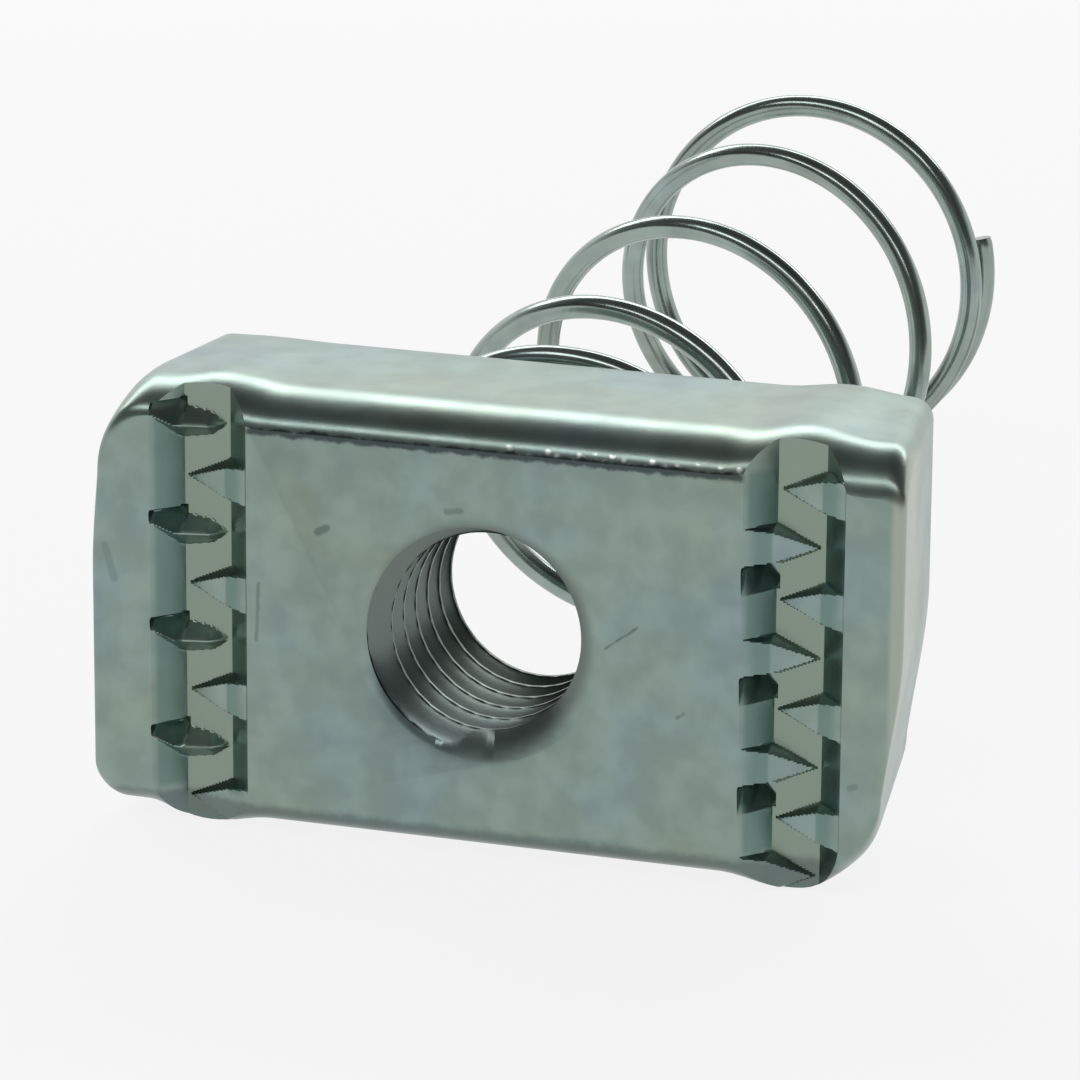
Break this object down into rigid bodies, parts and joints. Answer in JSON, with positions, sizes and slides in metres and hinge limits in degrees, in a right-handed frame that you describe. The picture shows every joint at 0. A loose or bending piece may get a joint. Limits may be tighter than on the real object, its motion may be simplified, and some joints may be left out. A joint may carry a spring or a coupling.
{
  "type": "strut spring nut",
  "caption": "Toothed channel nut with a tapped through hole and a long coil spring on its back that holds it against the lips of a strut channel.",
  "frame": {"origin": "centre of the tapped hole on the toothed face", "axes": "+X along the blank from one lip groove to the other, +Y from the toothed face through the nut to the spring, +Z along the grooves, up the short side"},
  "size_m": [0.0348, 0.0555, 0.0209],
  "materials": {
    "zinc_blank": "bright zinc plate",
    "zinc_wire": "bright zinc plate"
  },
  "bodies": {
    "root": {"nut_body": "zinc_blank", "spring": "zinc_wire"}
  },
  "joints": []
}
